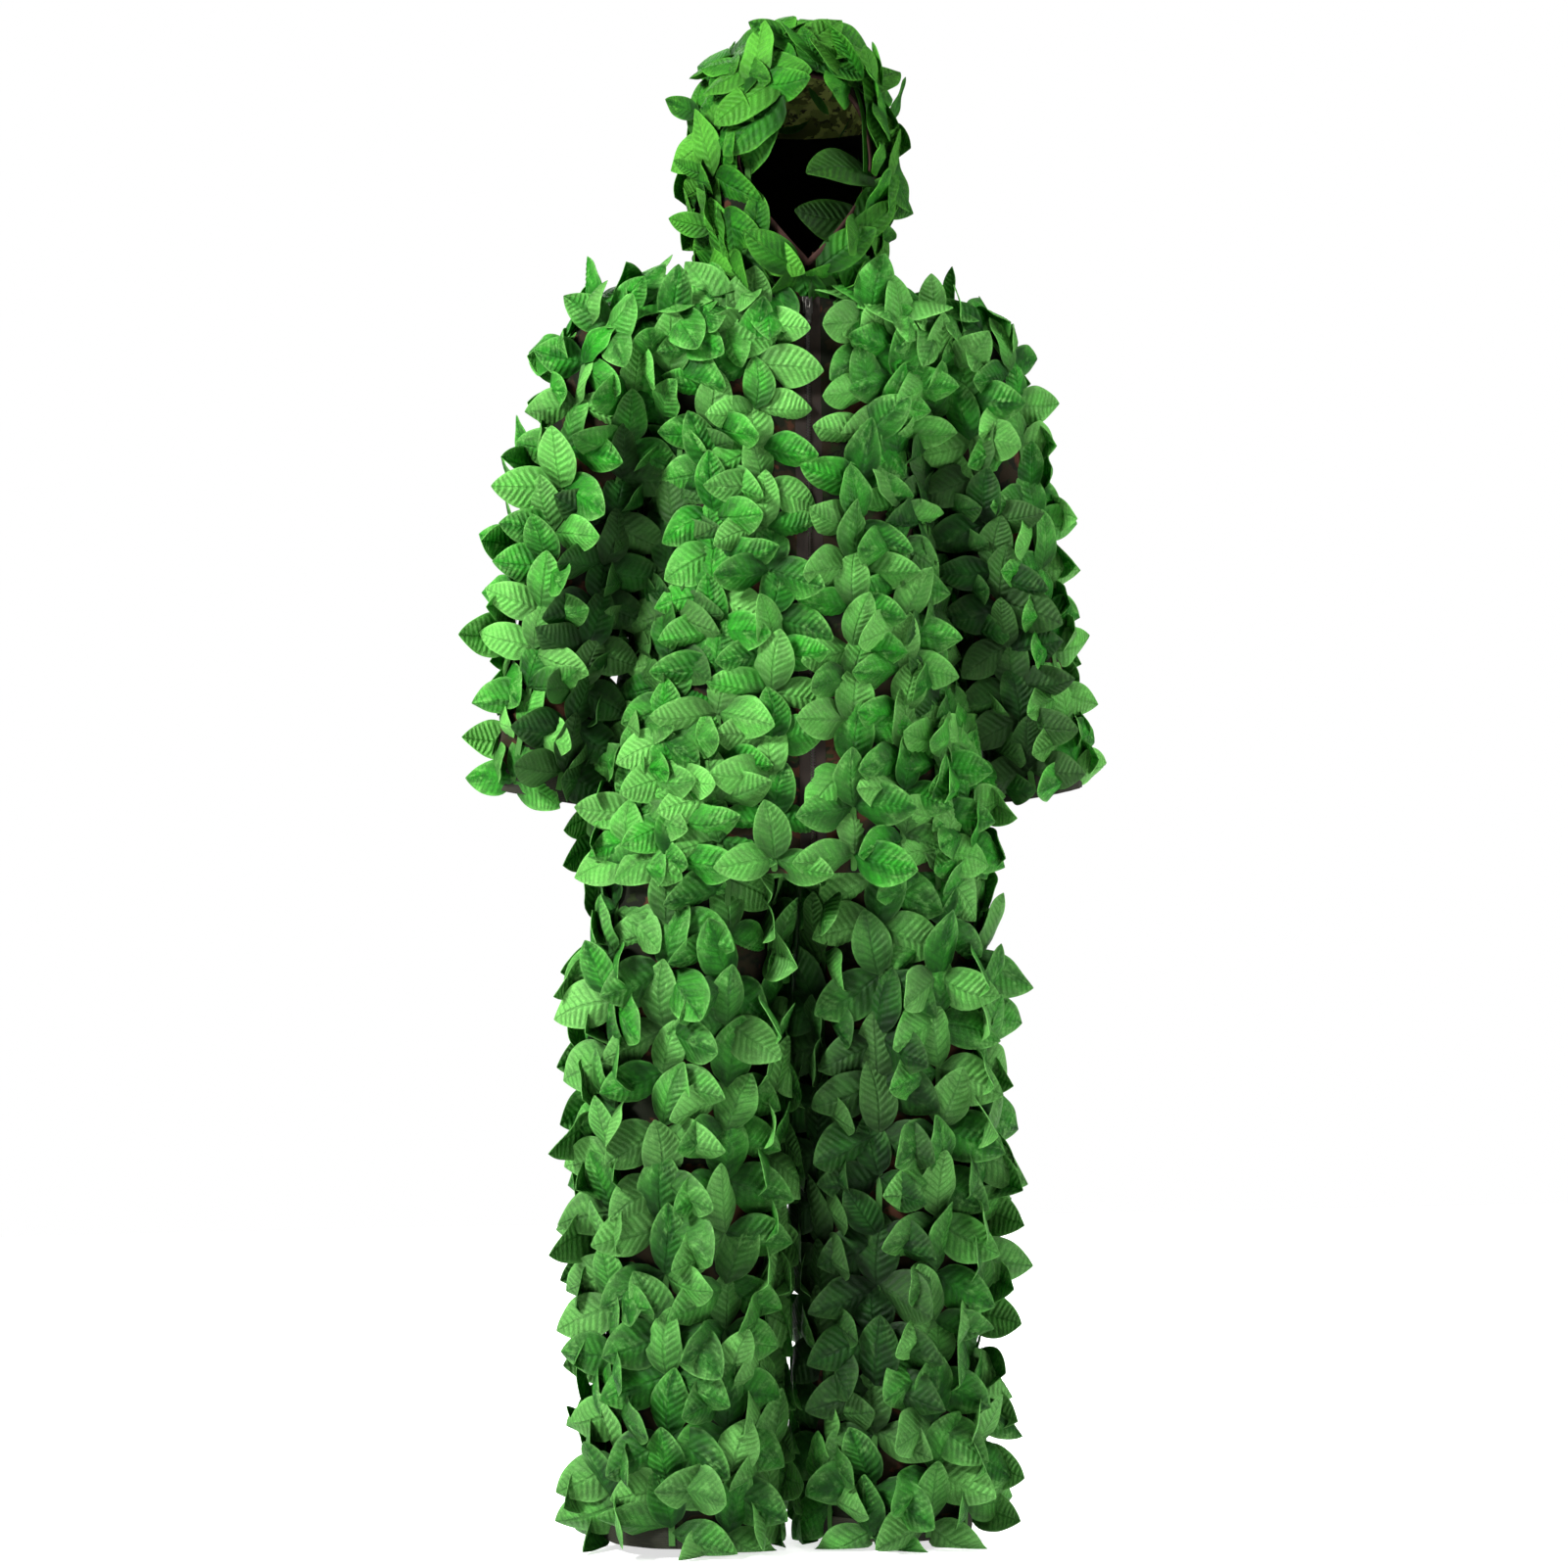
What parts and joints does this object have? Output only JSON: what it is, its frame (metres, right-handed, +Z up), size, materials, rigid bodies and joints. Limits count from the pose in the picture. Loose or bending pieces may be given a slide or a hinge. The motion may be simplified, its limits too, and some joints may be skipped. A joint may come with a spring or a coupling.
{
  "type": "ghillie suit",
  "caption": "Leaf-covered camouflage suit: a hooded zip jacket over trousers, both sewn over with strips of artificial leaves, as if worn by an unseen figure.",
  "frame": {"origin": "centre of the waistband's top edge, where the wearer's waist holds the suit", "axes": "+Z up, the suit faces -Y, +X is the wearer's left"},
  "size_m": [0.7582, 0.3433, 1.7427],
  "materials": {
    "base_cloth": "matte dark brown camouflage-print woven polyester",
    "lining": "matte near-black to olive polyester lining",
    "jacket_leaf": "bright green embossed polyester leaves, slight sheen",
    "hood_leaf": "bright yellow-green embossed polyester leaves, slight sheen",
    "trouser_leaf": "muted green embossed polyester leaves, slight sheen",
    "elastic": "covered elastic band",
    "zip_tape": "woven black zip tape",
    "zip_teeth": "moulded plastic zip teeth",
    "zip_metal": "dark lacquered zinc"
  },
  "bodies": {
    "trousers": {"seat_front_left": "base_cloth", "seat_back_left": "base_cloth", "seat_back_right": "base_cloth", "seat_front_right": "base_cloth", "waistband_casing": "base_cloth", "waist_elastic": "elastic"},
    "jacket": {"jacket_front_left": "base_cloth", "jacket_front_right": "base_cloth", "jacket_back": "base_cloth", "jacket_leaves_front_left": "jacket_leaf", "jacket_leaves_front_right": "jacket_leaf", "jacket_leaves_back": "jacket_leaf", "zip_tape_left": "zip_tape", "zip_teeth_left": "zip_teeth", "zip_tape_right": "zip_tape", "zip_teeth_right": "zip_teeth", "zip_bottom_stop": "zip_teeth"},
    "zip_slider": {"zip_slider": "zip_metal"},
    "zip_pull": {"zip_pull": "zip_metal"},
    "thigh_left": {"thigh_front_left": "base_cloth", "thigh_back_left": "base_cloth", "thigh_leaves_left": "trouser_leaf"},
    "shin_left": {"shin_front_left": "base_cloth", "shin_back_left": "base_cloth", "trouser_hem_left": "lining", "shin_leaves_left": "trouser_leaf"},
    "upper_sleeve_left": {"upper_sleeve_front_left": "base_cloth", "upper_sleeve_back_left": "base_cloth", "upper_sleeve_leaves_left": "jacket_leaf"},
    "lower_sleeve_left": {"lower_sleeve_front_left": "base_cloth", "lower_sleeve_back_left": "base_cloth", "cuff_left": "lining", "lower_sleeve_leaves_left": "jacket_leaf"},
    "thigh_right": {"thigh_front_right": "base_cloth", "thigh_back_right": "base_cloth", "thigh_leaves_right": "trouser_leaf"},
    "shin_right": {"shin_front_right": "base_cloth", "shin_back_right": "base_cloth", "trouser_hem_right": "lining", "shin_leaves_right": "trouser_leaf"},
    "upper_sleeve_right": {"upper_sleeve_front_right": "base_cloth", "upper_sleeve_back_right": "base_cloth", "upper_sleeve_leaves_right": "jacket_leaf"},
    "lower_sleeve_right": {"lower_sleeve_front_right": "base_cloth", "lower_sleeve_back_right": "base_cloth", "cuff_right": "lining", "lower_sleeve_leaves_right": "jacket_leaf"},
    "hood": {"hood_left": "lining", "hood_leaves_left": "hood_leaf", "hood_right": "lining", "hood_leaves_right": "hood_leaf", "face_binding": "base_cloth"}
  },
  "joints": [
    {"name": "jacket_lift", "type": "slide", "parent": "trousers", "child": "jacket", "axis": [0, 0, 1], "range_m": [0, 0.3]},
    {"name": "shoulder_left", "type": "hinge", "parent": "jacket", "child": "upper_sleeve_left", "pos_m": [0.206, 0, 0.355], "axis": [0, -1, 0], "range_deg": [0, 80]},
    {"name": "elbow_left", "type": "hinge", "parent": "upper_sleeve_left", "child": "lower_sleeve_left", "pos_m": [0.25247, 0.008, 0.10427], "axis": [-0.9833, 0, -0.1822], "range_deg": [0, 70]},
    {"name": "shoulder_right", "type": "hinge", "parent": "jacket", "child": "upper_sleeve_right", "pos_m": [-0.206, 0, 0.355], "axis": [0, 1, 0], "range_deg": [0, 80]},
    {"name": "elbow_right", "type": "hinge", "parent": "upper_sleeve_right", "child": "lower_sleeve_right", "pos_m": [-0.25247, 0.008, 0.10427], "axis": [-0.9833, 0, 0.1822], "range_deg": [0, 70]},
    {"name": "hip_left", "type": "hinge", "parent": "trousers", "child": "thigh_left", "pos_m": [0.122, 0.015, -0.23], "axis": [-1, 0, 0], "range_deg": [0, 25]},
    {"name": "knee_left", "type": "hinge", "parent": "thigh_left", "child": "shin_left", "pos_m": [0.122, -0.015, -0.56], "axis": [1, 0, 0], "range_deg": [0, 70]},
    {"name": "hip_right", "type": "hinge", "parent": "trousers", "child": "thigh_right", "pos_m": [-0.122, 0.015, -0.23], "axis": [-1, 0, 0], "range_deg": [0, 25]},
    {"name": "knee_right", "type": "hinge", "parent": "thigh_right", "child": "shin_right", "pos_m": [-0.122, -0.015, -0.56], "axis": [1, 0, 0], "range_deg": [0, 70]},
    {"name": "hood_fold", "type": "hinge", "parent": "jacket", "child": "hood", "pos_m": [0, 0.084, 0.438], "axis": [-1, 0, 0], "range_deg": [0, 95]},
    {"name": "zip_slide", "type": "slide", "parent": "jacket", "child": "zip_slider", "axis": [0, -0.0599, -0.9982], "range_m": [0, 0.6]},
    {"name": "zip_pull_flip", "type": "hinge", "parent": "zip_slider", "child": "zip_pull", "pos_m": [0, -0.10307, 0.41736], "axis": [-1, 0, 0], "range_deg": [0, 150]}
  ]
}
